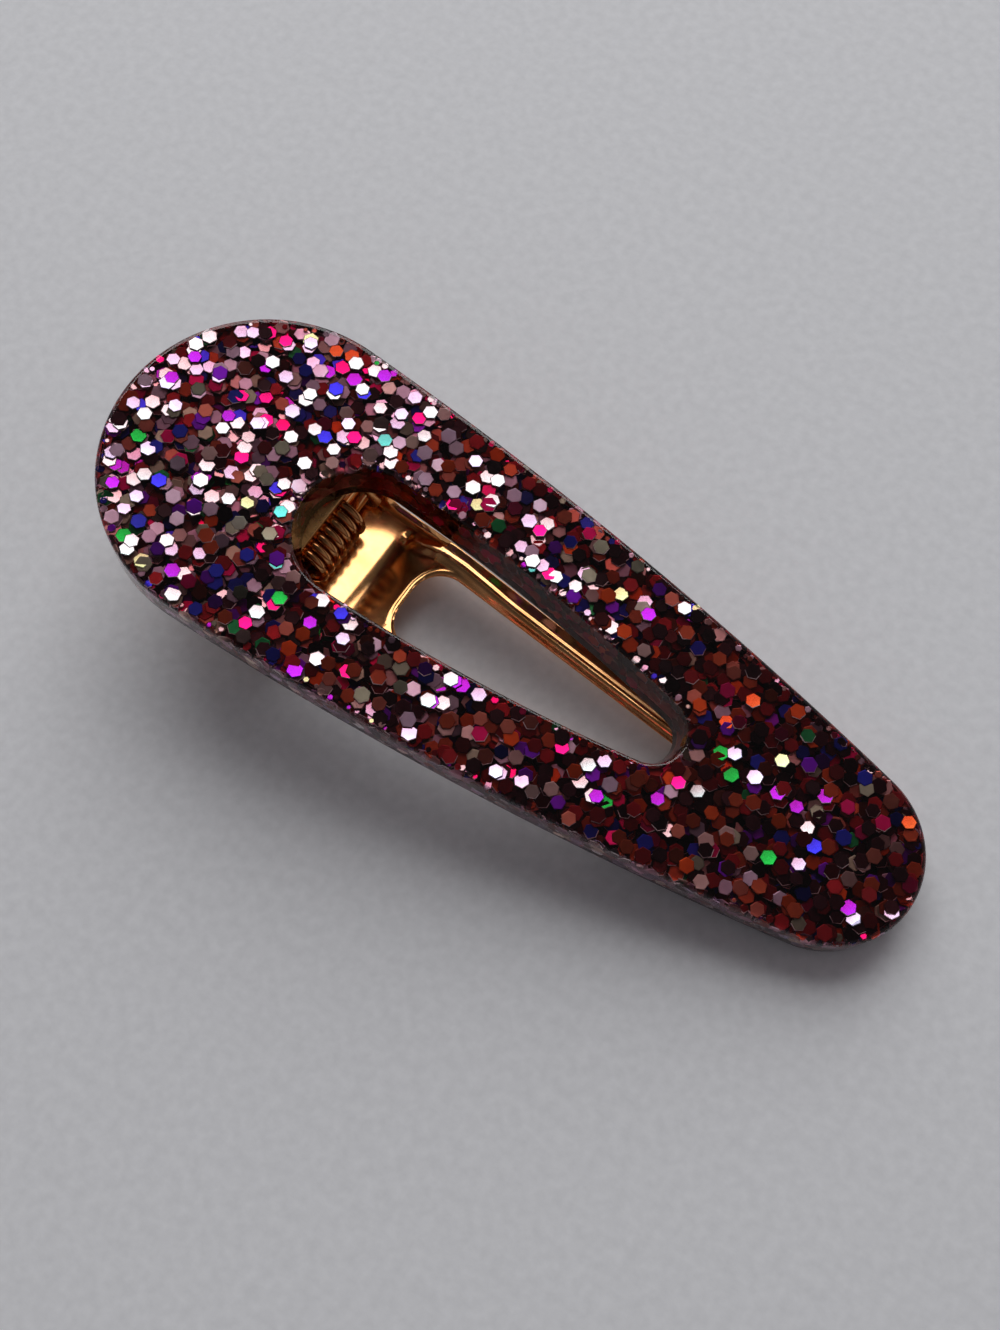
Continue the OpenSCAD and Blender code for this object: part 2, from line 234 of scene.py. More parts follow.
class Drop:
    """Two round ends joined by long arcs that touch both, as four arcs run anticlockwise."""

    def __init__(self, x1, r1, x2, r2, side_r):
        span, a, b = x2 - x1, side_r - r1, side_r - r2
        u = (span ** 2 + a ** 2 - b ** 2) / (2 * span)
        v = sqrt(a ** 2 - u ** 2)
        wide = atan2(v, -u)
        narrow = atan2(v, span - u)
        self.ends = ((x1, r1), (x2, r2))
        self.arcs = (
            ((x1, 0.0), r1, wide, tau - wide),
            ((x1 + u, v), side_r, tau - wide, tau - narrow),
            ((x2, 0.0), r2, -narrow, narrow),
            ((x1 + u, -v), side_r, narrow, wide),
        )
        self.touch_x = (x1 + r1 * cos(wide), x2 + r2 * cos(narrow))

    def points(self, counts):
        """Arrays of arc centre, radius and outward direction for each point of the outline."""
        rows = []
        for (centre, r, start, end), n in zip(self.arcs, counts):
            for k in range(n):
                t = start + (end - start) * k / n
                rows.append((centre[0], centre[1], r, cos(t), sin(t)))
        return np.array(rows)

    def inside(self, x, y):
        (x1, r1), (x2, r2) = self.ends
        (c, cy), side_r = self.arcs[3][0], self.arcs[3][1]
        in_wide = hypot(x - x1, y) < r1
        in_narrow = hypot(x - x2, y) < r2
        between = self.touch_x[0] < x < self.touch_x[1]
        return in_wide or in_narrow or (between and hypot(x - c, abs(y) - cy) < side_r)

    def gap(self, x, y):
        """Distance from a point to the outline."""
        best = PLATE_L
        for (cx, cy), r, start, end in self.arcs:
            if (atan2(y - cy, x - cx) - start) % tau <= end - start:
                best = min(best, abs(hypot(x - cx, y - cy) - r))
        return best


PLATE = Drop(WIDE_R, WIDE_R, PLATE_L - NARROW_R, NARROW_R, SIDE_R)
OPENING = Drop(OPEN_WIDE_X, OPEN_WIDE_R, OPEN_NARROW_X, OPEN_NARROW_R, OPEN_SIDE_R)


def ring(outline, offset, z):
    """Points of an outline moved out along its arcs' own radii, at one height."""
    reach = outline[:, 2] + offset
    return np.column_stack((
        outline[:, 0] + outline[:, 3] * reach,
        outline[:, 1] + outline[:, 4] * reach,
        np.full(len(outline), z),
    ))


def skin(rings):
    """Vertices and faces of a closed skin through rings of equal length, the last joined to the first."""
    n, k = len(rings[0]), len(rings)
    faces = []
    for j in range(k):
        a, b = j * n, (j + 1) % k * n
        for i in range(n):
            i2 = (i + 1) % n
            faces.append((a + i, a + i2, b + i2, b + i))
    return np.vstack(rings), faces


def plate_skin(inset, top_z, under_z, top_r, open_r, under_r, steps=7):
    """Closed skin in the plate's form, inset into the resin, with rounded edges."""
    outer = PLATE.points(ARC_POINTS)
    inner = OPENING.points(ARC_POINTS)

    def edge(outline, sign, r, z_face, up, reverse, lean=0.0):
        """Quarter round between a flat face and a wall. up is 1 at the top face and -1 at the under face."""
        wall = inset - lean
        part = [ring(outline, -sign * (wall + r + EDGE_FLAT), z_face)]
        for k in range(steps + 1):
            t = pi / 2 * k / steps
            offset = -sign * (wall + r - r * sin(t))
            part.append(ring(outline, offset, z_face - up * (r - r * cos(t))))
        part.append(ring(outline, -sign * wall, z_face - up * (r + EDGE_FLAT)))
        return part[::-1] if reverse else part

    rings = edge(outer, 1, top_r, top_z, 1, False)
    rings += edge(outer, 1, under_r, under_z, -1, True)
    rings += edge(inner, -1, under_r, under_z, -1, False, OPEN_DRAFT)
    rings += edge(inner, -1, open_r, top_z, 1, True)
    return skin(rings)


# Materials

class Nodes:
    """Node tree of a material or a world, with short calls to add and join nodes."""

    def __init__(self, owner, shader, **values):
        owner.use_nodes = True
        self.owner = owner
        self.tree = owner.node_tree
        self.shader = self.tree.nodes[shader]
        for key, value in values.items():
            self.shader.inputs[key.replace("_", " ")].default_value = value

    def add(self, kind, **settings):
        node = self.tree.nodes.new("ShaderNode" + kind)
        for key, value in settings.items():
            setattr(node, key, value)
        return node

    def join(self, out, into):
        self.tree.links.new(out, into)

    def feed(self, key, out):
        """Joins an output to one of the shader's inputs."""
        self.join(out, self.shader.inputs[key])

    def noise(self, scale, detail=3.0, stretch=(1, 1, 1)):
        """Noise over the piece's own coordinates, in metres."""
        coords = self.add("TexCoord")
        mapping = self.add("Mapping")
        mapping.inputs["Scale"].default_value = stretch
        node = self.add("TexNoise")
        node.inputs["Scale"].default_value = scale
        node.inputs["Detail"].default_value = detail
        self.join(coords.outputs["Object"], mapping.inputs["Vector"])
        self.join(mapping.outputs["Vector"], node.inputs["Vector"])
        return node.outputs["Fac"]

    def ramp(self, factor, *stops):
        """Colour ramp with stops of place and colour."""
        node = self.add("ValToRGB")
        elements = node.color_ramp.elements
        while len(elements) < len(stops):
            elements.new(1.0)
        for element, (place, colour) in zip(elements, stops):
            element.position = place
            element.color = colour
        self.join(factor, node.inputs["Fac"])
        return node.outputs["Color"]

    def between(self, factor, low, high, source=(0, 1)):
        """Maps one range of numbers onto another."""
        node = self.add("MapRange")
        node.inputs["From Min"].default_value, node.inputs["From Max"].default_value = source
        node.inputs["To Min"].default_value = low
        node.inputs["To Max"].default_value = high
        self.join(factor, node.inputs["Value"])
        return node.outputs["Result"]

    def scaled(self, colour, factor):
        """Colour times a number."""
        node = self.add("VectorMath", operation="SCALE")
        self.join(colour, node.inputs["Vector"])
        self.join(factor, node.inputs["Scale"])
        return node.outputs["Vector"]

    def bump(self, height, strength, distance):
        node = self.add("Bump")
        node.inputs["Strength"].default_value = strength
        node.inputs["Distance"].default_value = distance
        self.join(height, node.inputs["Height"])
        self.feed("Normal", node.outputs["Normal"])


def principled(name, **values):
    """Nodes of a new material."""
    return Nodes(bpy.data.materials.new(name), "Principled BSDF", **values)


def rgb(r, g, b, gain=1.0):
    """Linear colour from screen values between 0 and 255."""
    def linear(v):
        v /= 255
        return v / 12.92 if v <= 0.04045 else ((v + 0.055) / 1.055) ** 2.4
    return tuple(min(1.0, gain * linear(v)) for v in (r, g, b)) + (1.0,)


def resin_material():
    nodes = principled(
        "clear_resin", Base_Color=(1, 0.93, 0.92, 1), IOR=RESIN_IOR, Transmission_Weight=1.0)
    nodes.feed("Roughness", nodes.between(nodes.noise(260), 0, 0.06))
    absorb = nodes.add("VolumeAbsorption")
    absorb.inputs["Color"].default_value = RESIN_TINT
    absorb.inputs["Density"].default_value = RESIN_DENSITY
    nodes.join(absorb.outputs[0], nodes.tree.nodes["Material Output"].inputs["Volume"])
    return nodes.owner


def core_material_painted_glow():
    """Deep resin: nearly black from above and below, and warm red on its upright sides, a painted glow of
    light passing through the resin.
    """
    nodes = principled("deep_resin_painted_glow", Roughness=0.5)
    flat = nodes.ramp(nodes.noise(900), (0.4, (0.014, 0.004, 0.004, 1)), (0.65, (0.08, 0.02, 0.015, 1)))
    # Upright sides: painted glow of light passing through the resin
    side = nodes.ramp(nodes.noise(700), (0.4, (0.5, 0.15, 0.11, 1)), (0.65, (0.95, 0.42, 0.3, 1)))
    facing = nodes.add("SeparateXYZ")
    nodes.join(nodes.add("NewGeometry").outputs["Normal"], facing.inputs["Vector"])
    upright_glow = nodes.add("Math", operation="ABSOLUTE")
    nodes.join(facing.outputs["Z"], upright_glow.inputs[0])
    mix = nodes.add("MixRGB")
    nodes.join(upright_glow.outputs["Value"], mix.inputs["Fac"])
    nodes.join(side, mix.inputs["Color1"])
    nodes.join(flat, mix.inputs["Color2"])
    nodes.feed("Base Color", mix.outputs["Color"])
    return nodes.owner


def plated(name, bright, worn, roughness, spread, grain):
    """Bright plating: cloudy colour, uneven polish and fine drawn scratches."""
    nodes = principled(name, Metallic=1.0)
    cloud = nodes.noise(420, 4)
    nodes.feed("Base Color", nodes.ramp(cloud, (0.35, bright), (0.72, worn)))
    nodes.feed("Roughness", nodes.between(nodes.noise(1500, 5), roughness, roughness + spread))
    nodes.bump(nodes.noise(2600, 4, (0.12, 1, 1)), grain, 0.01 * MM)
    return nodes.owner


# Flake kinds: name, screen colour, lit by the window, share at the wide end, share at the narrow end
FLAKE_KINDS = (
    ("white", (238, 253, 255), True, 22, 2.6),
    ("lavender", (226, 219, 255), True, 14, 1.4),
    ("hot_pink", (250, 0, 140), True, 5.5, 0.6),
    ("violet", (170, 24, 220), True, 6, 1.4),
    ("royal", (48, 42, 214), True, 4, 0.5),
    ("green", (10, 180, 64), True, 2.3, 0.4),
    ("yellow", (222, 250, 182), True, 1.8, 0.5),
    ("teal", (90, 215, 205), True, 0.8, 0.05),
    ("orange", (190, 74, 26), True, 0.2, 0.8),
    ("mauve", (124, 106, 122), False, 19, 2.8),
    ("pale_mauve", (156, 142, 158), False, 5, 0.3),
    ("olive", (98, 98, 84), False, 10, 1.8),
    ("taupe", (116, 94, 92), False, 9, 4),
    ("copper", (112, 58, 48), False, 5, 6),
    ("crimson", (122, 6, 54), False, 7, 4),
    ("dark_violet", (72, 12, 116), False, 7, 5),
    ("navy", (18, 20, 88), False, 8, 6),
    ("dark_green", (14, 74, 38), False, 3, 1),
    ("maroon", (76, 8, 12), False, 10, 27),
    ("rust", (112, 36, 9), False, 0.5, 9),
    ("brown", (84, 29, 14), False, 6, 16),
    ("umber", (22, 4, 7), False, 13, 32),
    ("tan", (204, 184, 156), False, 1, 0.4),
)
# Kinds along the walls: near outer wall, far outer wall, and the opening's wall. The near outer wall's pale
# and white kinds are a painted sheen of the light that wall reflects
WALL_KINDS_WITH_NEAR_SHEEN = (
    ("pale_mauve", "lavender", "mauve", "taupe", "tan", "pale_mauve", "lavender", "white", "white", "copper"),
    ("copper", "maroon", "crimson", "taupe", "rust", "crimson"),
    ("maroon", "rust", "crimson", "copper", "crimson", "rust", "brown", "copper", "maroon"),
)
KIND_NAMES = [kind[0] for kind in FLAKE_KINDS]
KIND_LIT = [kind[2] for kind in FLAKE_KINDS]
# Number of the material on the flakes' cut edges, pale as a painted highlight on sides away from the window
EDGE_KIND = len(FLAKE_KINDS)
GLITTER_SEED = 7

FLAKE_R = (0.684 * MM, 0.798 * MM)
HEX_BEVEL = 0.065 * MM
FLAKE_T = 0.03 * MM
# Least distance from a flake's middle to the plate's walls
FLAKE_REACH = 0.82 * MM
# Direction from which a flake's corners are counted, slanted so that no flake faces along it
CORNER_WAY = Vector((0.1, 1, 0.02))
# Share of flakes with paler edges, painted highlights on their sides away from the window, among the lit
# kinds and the others
EDGED_SHARE = {True: 0.5, False: 0.25}
# Gain and random shades of the film's colours, for the lit kinds and the others
LIT_GAIN, LIT_SHADES = 0.85, (0.8, 1.1)
DIM_GAIN, DIM_SHADES = 2.5, (0.1, 1.35)

# Flat layers of flakes under the two faces, in millimetres: depth, and least distance between centres
TOP_LAYERS = (
    (0.12, 2.3), (0.2, 2.1), (0.29, 1.9), (0.4, 1.75), (0.5, 1.65),
    (0.66, 1.6), (0.85, 1.5), (1.1, 1.45), (1.4, 1.4), (1.8, 1.4))
UNDER_LAYERS = ((0.16, 1.5), (0.32, 1.45), (0.5, 1.4))
LAYER_TRIES = 6000
LAYER_LEAN = 3.5
# How much of its own random lean a lit flake keeps when it is turned to the window
KEPT_LEAN = 0.5

# Flakes along the walls: how many, their lean, share in the opening, distances inside the wall and heights
WALL_FLAKES = 1900
WALL_LEAN = 8
WALL_OPENING_SHARE = 0.28
WALL_INWARD = (0.2 * MM, 0.6 * MM)
WALL_Z = (-3.1 * MM, -0.95 * MM)
# Places along an outline, and the numbers that its arcs' radii are divided by to weigh them
WALL_STEPS = (120, 400, 70, 400)
END_DIVISOR, SIDE_DIVISOR = 120, 4000

# Broken bits of film under the rounded top edges, and the kinds that are common at the far sides: pale bits
# on the opening's far rim are painted highlights, and warm bits on the outer far rim a painted glow
EDGE_BITS = 520
BIT_R = (0.22 * MM, 0.42 * MM)
BIT_OPENING_SHARE = 1.5
BIT_INWARD = (0.5 * MM, 0.8 * MM)
BIT_Z = (-0.7 * MM, -0.25 * MM)
PAINTED_GLINT_BITS = ("white", "lavender", "white", "pale_mauve")
PAINTED_GLOW_BITS = ("pale_mauve", "copper", "crimson", "taupe")
CHOSEN_BIT_SHARE = 0.45

# Shares of the clip's length where the mix of kinds starts to change, and over which it changes. The wide
# end's larger share of pale and lit kinds is partly painted light, the brightness of flakes that mirror the
# window there
MIX_START, MIX_SPAN = 0.16, 0.52
# Depth down to which the lit kinds are as frequent as charted, and their share below it
LIT_DEPTH = 0.3 * MM
DEEP_LIT_SHARE = 0.12
# Clusters of lit kinds: how strong they are, and how many fit in a metre
CLUSTERING = 4.5
CLUSTER_SCALE = 200
# Where the lit flakes are densest, a painted highlight of the window's reflection, how far that reaches, and
# by how much
PAINTED_GLINT_SPOT = (13 * MM, 8 * MM, 13 * MM)
PAINTED_GLINT_GAIN = 1.5


def film_material(name, colour, lit):
    """Metallised film: shade differs from flake to flake and clouds a little across each one."""
    if lit:
        nodes = principled("flake_" + name, Metallic=0.8, Roughness=0.17)
    else:
        nodes = principled("flake_" + name, Metallic=0.62, Roughness=0.28, Specular_IOR_Level=0.12)
    tint = nodes.add("RGB")
    tint.outputs[0].default_value = rgb(*colour, LIT_GAIN if lit else DIM_GAIN)
    island = nodes.add("NewGeometry").outputs["Random Per Island"]
    shade = nodes.between(island, *(LIT_SHADES if lit else DIM_SHADES))
    cloud = nodes.between(nodes.noise(1300, 2), 0.8, 1.15)
    nodes.feed("Base Color", nodes.scaled(nodes.scaled(tint.outputs[0], shade), cloud))
    return nodes.owner


def edge_highlight_material():
    """Cut edge of a flake, paler than its face: partly the film's cut edge, partly a painted highlight, as it
    goes only on sides away from the window.
    """
    nodes = principled("flake_edge_highlight", Metallic=0.5, Roughness=0.3)
    cut = nodes.ramp(nodes.noise(700), (0.4, (0.22, 0.15, 0.17, 1)), (0.6, (0.9, 0.75, 0.78, 1)))
    nodes.feed("Base Color", cut)
    return nodes.owner


def wall_margin(depth):
    """How far a flake's middle stays from the plate's walls at a depth, clear of the rounded top edges."""
    left = max(0.0, TOP_EDGE_R - depth)
    return FLAKE_REACH + TOP_EDGE_R - sqrt(TOP_EDGE_R ** 2 - left ** 2)


def throw_layer(rng, spacing, margin):
    """Centres of one layer of flakes, a spacing apart and kept clear of the plate's walls."""
    grid, kept = {}, []
    for _ in range(LAYER_TRIES):
        x = rng.uniform(0, PLATE_L)
        y = rng.uniform(-WIDE_R, WIDE_R)
        if not PLATE.inside(x, y) or OPENING.inside(x, y):
            continue
        if min(PLATE.gap(x, y), OPENING.gap(x, y)) < margin:
            continue
        i, j = int(x // spacing), int(y // spacing)
        near = [p for a in (-1, 0, 1) for b in (-1, 0, 1) for p in grid.get((i + a, j + b), ())]
        if any(hypot(x - px, y - py) < spacing for px, py in near):
            continue
        grid.setdefault((i, j), []).append((x, y))
        kept.append((x, y))
    return kept


def wall_places(rng, count, opening_share):
    """Places along the plate's outlines: a point, and a sign that is 1 outside and -1 in the opening."""
    places, weights = [], []
    for drop, sign, share in ((PLATE, 1, 1), (OPENING, -1, opening_share)):
        for row in drop.points(WALL_STEPS):
            places.append((row, sign))
            weights.append(share * row[2] / (SIDE_DIVISOR if row[2] > WIDE_R else END_DIVISOR))
    return rng.choices(places, weights, k=count)


def wall_point(row, sign, inward, z):
    """Point at a distance inside a wall, and the wall's outward direction."""
    lean = OPEN_DRAFT * (-z - OPEN_EDGE_R) / (PLATE_T - OPEN_EDGE_R) if sign < 0 else 0
    reach = row[2] - sign * (inward - lean)
    return Vector((row[0] + row[3] * reach, row[1] + row[4] * reach, z)), Vector((row[3], row[4], 0)) * sign


def wall_flakes(rng):
    """Centres, normals and kinds of flakes that lie along the plate's walls, inside and outside."""
    for row, sign in wall_places(rng, WALL_FLAKES, WALL_OPENING_SHARE):
        centre, way = wall_point(row, sign, rng.uniform(*WALL_INWARD), rng.uniform(*WALL_Z))
        # The side picks the kinds: the pale ones on the near outer wall are painted sheen
        side = 2 if sign < 0 else (0 if way.y < 0 else 1)
        yield centre, leaning(rng, way, WALL_LEAN), KIND_NAMES.index(rng.choice(WALL_KINDS_WITH_NEAR_SHEEN[side]))


def edge_bits(rng):
    """Centres, normals and kinds of broken bits under the plate's rounded top edges."""
    for row, sign in wall_places(rng, EDGE_BITS, BIT_OPENING_SHARE):
        centre, way = wall_point(row, sign, rng.uniform(*BIT_INWARD), rng.uniform(*BIT_Z))
        kind = pick_kind(rng, centre.x, centre.y, 0)
        # Far rims get chosen kinds: painted highlights in the opening, a painted warm glow outside
        chosen = PAINTED_GLOW_BITS if sign > 0 else PAINTED_GLINT_BITS
        if (sign > 0) == (way.y > 0) and rng.random() < CHOSEN_BIT_SHARE:
            kind = KIND_NAMES.index(rng.choice(chosen))
        yield centre, leaning(rng, UP, LAYER_LEAN), kind


def window_half(centre, eye, window):
    """Normal of a flake that mirrors the window to the camera through the resin's top face."""
    def inside(target):
        d = (target - centre).normalized()
        x, y = d.x / RESIN_IOR, d.y / RESIN_IOR
        return Vector((x, y, sqrt(1 - x * x - y * y)))
    return (inside(eye) + inside(window)).normalized()


def hexagon(centre, normal, spin, radius, verts, faces):
    """Adds one thin six-sided flake with cut edges. Returns the directions of its edges."""
    side = normal.cross(CORNER_WAY).normalized()
    other = normal.cross(side)
    base = len(verts)
    spokes = [side * cos(spin + tau * k / 6) + other * sin(spin + tau * k / 6) for k in range(6)]
    verts += [centre - normal * FLAKE_T / 2 + spoke * radius for spoke in spokes]
    verts += [centre + normal * FLAKE_T / 2 + spoke * (radius - HEX_BEVEL) for spoke in spokes]
    faces.append(tuple(base + k for k in range(5, -1, -1)))
    faces.append(tuple(base + 6 + k for k in range(6)))
    for k in range(6):
        k2 = (k + 1) % 6
        faces.append((base + k, base + k2, base + 6 + k2, base + 6 + k))
    return [spokes[k] + spokes[(k + 1) % 6] for k in range(6)]


def pick_kind(rng, x, y, depth):
    """Kind of flake at a place: shares change along the clip, partly as painted light, and lit kinds lie on
    top, in clusters and thickest in a painted highlight near the wide end.
    """
    along = min(1.0, max(0.0, (x / PLATE_L - MIX_START) / MIX_SPAN))
    cluster = noise.noise(Vector((x, y, 0)) * CLUSTER_SCALE)
    # Painted highlight: more lit flakes round one spot near the wide end
    spot_x, spot_y, reach = PAINTED_GLINT_SPOT
    bright = 1 + PAINTED_GLINT_GAIN * exp(-((x - spot_x) ** 2 + (y - spot_y) ** 2) / reach ** 2)
    lit_share = exp(CLUSTERING * cluster) * bright
    if depth > LIT_DEPTH:
        lit_share *= DEEP_LIT_SHARE
    weights = []
    for _, _, lit, wide, narrow in FLAKE_KINDS:
        share = (1 - along) * wide + along * narrow
        weights.append(share * lit_share if lit else share)
    return rng.choices(range(len(FLAKE_KINDS)), weights)[0]


def leaning(rng, axis, spread):
    """Direction near an axis, off it by a normally spread angle in degrees."""
    lean, way = radians(abs(rng.gauss(0, spread))), rng.uniform(0, tau)
    off_axis = Vector((0.3, 0.2, 1)) if abs(axis.z) < 0.7 else Vector((1, 0, 0))
    side = axis.cross(off_axis).normalized()
    return axis * cos(lean) + (side * cos(way) + axis.cross(side) * sin(way)) * sin(lean)


def flakes(name, places, rng, materials, shade_side, sizes=FLAKE_R):
    """One mesh of flakes from centres, normals and kinds, some with paler edges, painted highlights, on their
    sides away from the window.
    """
    verts, faces, kinds = [], [], []
    for centre, normal, kind in places:
        ways = hexagon(centre, normal, rng.uniform(0, tau), rng.uniform(*sizes), verts, faces)
        edged = rng.random() < EDGED_SHARE[KIND_LIT[kind]]
        kinds += [kind, kind]
        kinds += [EDGE_KIND if edged and way.dot(shade_side) > 0.5 else kind for way in ways]
    piece = mesh_object(name, verts, faces, "holder", materials, smooth=False)
    piece.data.polygons.foreach_set("material_index", kinds)


def flat_flakes(rng, layers, face_z, direction):
    """Centres, normals and kinds of flakes in flat layers under a face. direction is 1 at the top."""
    for depth, spacing in layers:
        z = face_z - direction * depth * MM
        for x, y in throw_layer(rng, spacing * MM, wall_margin(depth * MM)):
            yield Vector((x, y, z)), leaning(rng, UP, LAYER_LEAN), pick_kind(rng, x, y, depth * MM)


def lean_to_window(places, eye, window):
    """Turns the flakes of lit kinds so that they mirror the window to the camera."""
    for centre, normal, kind in places:
        if KIND_LIT[kind]:
            normal = (window_half(centre, eye, window) + KEPT_LEAN * normal - KEPT_LEAN * UP).normalized()
        yield centre, normal, kind


def resin():
    """Clear skin of the plate, and the core that makes its depth dark and carries a painted glow on its
    upright sides.
    """
    shell = mesh_object(
        "resin_shell",
        *plate_skin(SKIN_GAP, -SKIN_GAP, -PLATE_T + SKIN_GAP, TOP_EDGE_R, OPEN_EDGE_R, UNDER_EDGE_R),
        "holder", [resin_material()])
    shell.visible_shadow = False
    core = mesh_object(
        "resin_core",
        *plate_skin(CORE_INSET, CORE_TOP_Z, CORE_UNDER_Z, CORE_EDGE_R, CORE_EDGE_R, CORE_EDGE_R),
        "holder", [core_material_painted_glow()])
    for piece in (shell, core):
        outward(piece)
    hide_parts("resin_plate")


def glitter(eye, window):
    rng = random.Random(GLITTER_SEED)
    materials = [film_material(name, colour, lit) for name, colour, lit, _, _ in FLAKE_KINDS]
    materials.append(edge_highlight_material())
    shade_side = Vector((-window.x, -window.y, 0)).normalized()
    top = list(lean_to_window(flat_flakes(rng, TOP_LAYERS, 0, 1), eye, window))
    under = list(flat_flakes(rng, UNDER_LAYERS, -PLATE_T, -1))
    walls = list(wall_flakes(rng))
    bits = list(lean_to_window(edge_bits(rng), eye, window))
    flakes("glitter_top", top, rng, materials, shade_side)
    flakes("glitter_under", under, rng, materials, shade_side)
    flakes("glitter_walls", walls, rng, materials, shade_side)
    flakes("glitter_bits", bits, rng, materials, shade_side, BIT_R)


# Sheet metal

def bent(line, radii, steps=10):
    """Points of a line in the side view whose inner corners are rounded to bend radii."""
    points = [Vector(line[0])]
    for before, here, after, r in zip(line, line[1:], line[2:], radii):
        here = Vector(here)
        a, b = (here - Vector(before)).normalized(), (Vector(after) - here).normalized()
        turn = asin(a.x * b.y - a.y * b.x)
        start = here - a * r * tan(abs(turn) / 2)
        side = Vector((-a.y, a.x)) * (1 if turn > 0 else -1)
        centre = start + side * r
        for k in range(steps + 1):
            points.append(centre + Matrix.Rotation(turn * k / steps, 2) @ (start - centre))
    points.append(Vector(line[-1]))
    return points


def rim(points, normals, outs, steps=3):
    """Rows of points round a sheet's rounded edge, from its upper face to its under face."""
    rows = []
    r = SHEET_EDGE_R
    inner = points - outs * r
    for k in range(steps + 1):
        a = pi / 2 * k / steps
        rows.append(inner + outs * (r * sin(a)) - normals * (r - r * cos(a)))
    for k in range(steps + 1):
        a = pi / 2 * k / steps
        rows.append(inner + outs * (r * cos(a)) - normals * (SHEET_T - r + r * sin(a)))
    return rows


def loops(quads):
    """Closed loops of point numbers round the edges that only one face has."""
    after = {}
    edges = {(q[k], q[(k + 1) % len(q)]) for q in quads for k in range(len(q))}
    for a, b in edges:
        if (b, a) not in edges:
            after[a] = b
    found = []
    while after:
        loop = [min(after)]
        while after[loop[-1]] != loop[0]:
            loop.append(after[loop[-1]])
        for a in loop:
            del after[a]
        found.append(loop)
    return found


def unit(rows):
    """Rows of a table as directions of length 1."""
    return rows / np.linalg.norm(rows, axis=1)[:, None]


def ways_out(loop):
    """Level directions out of an anticlockwise loop in plan, one for each of its points."""
    ahead = unit(np.roll(loop, -1, axis=0) - loop)
    both = ahead + np.roll(ahead, 1, axis=0)
    return np.column_stack((both[:, 1], -both[:, 0], np.zeros(len(loop))))


def sheet(flat, quads, height):
    """Closed sheet with rounded edges, from points in plan, their anticlockwise faces and a height."""
    flat = np.array(flat)
    step = 0.02 * MM
    x, y = flat[:, 0], flat[:, 1]
    slope_x = (height(x + step, y) - height(x - step, y)) / (2 * step)
    slope_y = (height(x, y + step) - height(x, y - step)) / (2 * step)
    normals = unit(np.column_stack((-slope_x, -slope_y, np.ones(len(x)))))
    top = np.column_stack((x, y, height(x, y)))
    n = len(top)
    verts = np.vstack((top, top - normals * SHEET_T))
    faces = [tuple(q) for q in quads] + [tuple(n + i for i in reversed(q)) for q in quads]
    extra = []
    for loop in loops(quads):
        ids = np.array(loop)
        outs = ways_out(flat[ids])
        outs = unit(outs - normals[ids] * np.sum(outs * normals[ids], axis=1)[:, None])
        rows = rim(top[ids], normals[ids], outs)
        verts[ids], verts[n + ids] = rows[0], rows[-1]
        numbers = [ids]
        for row in rows[1:-1]:
            first = 2 * n + len(extra)
            extra += list(row)
            numbers.append(np.arange(first, first + len(ids)))
        numbers.append(n + ids)
        for upper, lower in zip(numbers, numbers[1:]):
            for k in range(len(ids)):
                k2 = (k + 1) % len(ids)
                faces.append((int(upper[k2]), int(upper[k]), int(lower[k]), int(lower[k2])))
    return np.vstack((verts, extra)), faces


def tube_faces(rings, sides):
    """Faces of a closed tube through rings of points, with a flat face at each end."""
    faces = []
    for j in range(rings - 1):
        for k in range(sides):
            k2 = (k + 1) % sides
            faces.append((j * sides + k, j * sides + k2, (j + 1) * sides + k2, (j + 1) * sides + k))
    faces.append(tuple(range(sides)))
    faces.append(tuple((rings - 1) * sides + k for k in reversed(range(sides))))
    return faces


class Plan:
    """Points and faces in plan, with points at the same place shared."""

    def __init__(self):
        self.points, self.numbers, self.quads = [], {}, []

    def number(self, x, y):
        key = (round(x / MM, 5), round(y / MM, 5))
        if key not in self.numbers:
            self.numbers[key] = len(self.points)
            self.points.append((x, y))
        return self.numbers[key]

    def strip(self, stations, inner, outer, cells):
        """Faces between two lines on both sides of the clip, given as distances across it at each station."""
        for sign in (1, -1):
            rows = []
            for x in stations:
                a, b = inner(x), outer(x)
                rows.append([self.number(x, sign * (a + (b - a) * k / cells)) for k in range(cells + 1)])
            for back, front in zip(rows, rows[1:]):
                for k in range(cells):
                    quad = [back[k], front[k], front[k + 1], back[k + 1]][::sign]
                    if len(set(quad)) == 4:
                        self.quads.append(quad)


def ear(outline, far_y):
    """Closed upright plate with rounded edges, from a side view and the place of its far face."""
    flat = np.array(outline)
    points = np.column_stack((flat, np.zeros(len(flat))))
    normals = np.tile((0.0, 0.0, 1.0), (len(flat), 1))
    rows = rim(points, normals, unit(ways_out(flat)))
    return [(u, far_y + w, v) for u, v, w in np.vstack(rows)], tube_faces(len(rows), len(flat))


def ears(outline, y):
    """Two ears that stand on both sides of the middle, with their inner faces at a distance from it."""
    return [ear(outline, y + SHEET_T), ear(outline, -y)]


def metal_piece(name, node, shape, body, material):
    """New metal piece from its vertices and faces, in place of a CAD node."""
    piece = mesh_object(name, *shape, body, [material])
    outward(piece)
    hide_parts(node)
    return piece


def arc(cx, cy, r, start, end, steps):
    """Points of an arc, with angles in degrees."""
    turns = (radians(start + (end - start) * k / steps) for k in range(steps + 1))
    return [(cx + r * cos(t), cy + r * sin(t)) for t in turns]


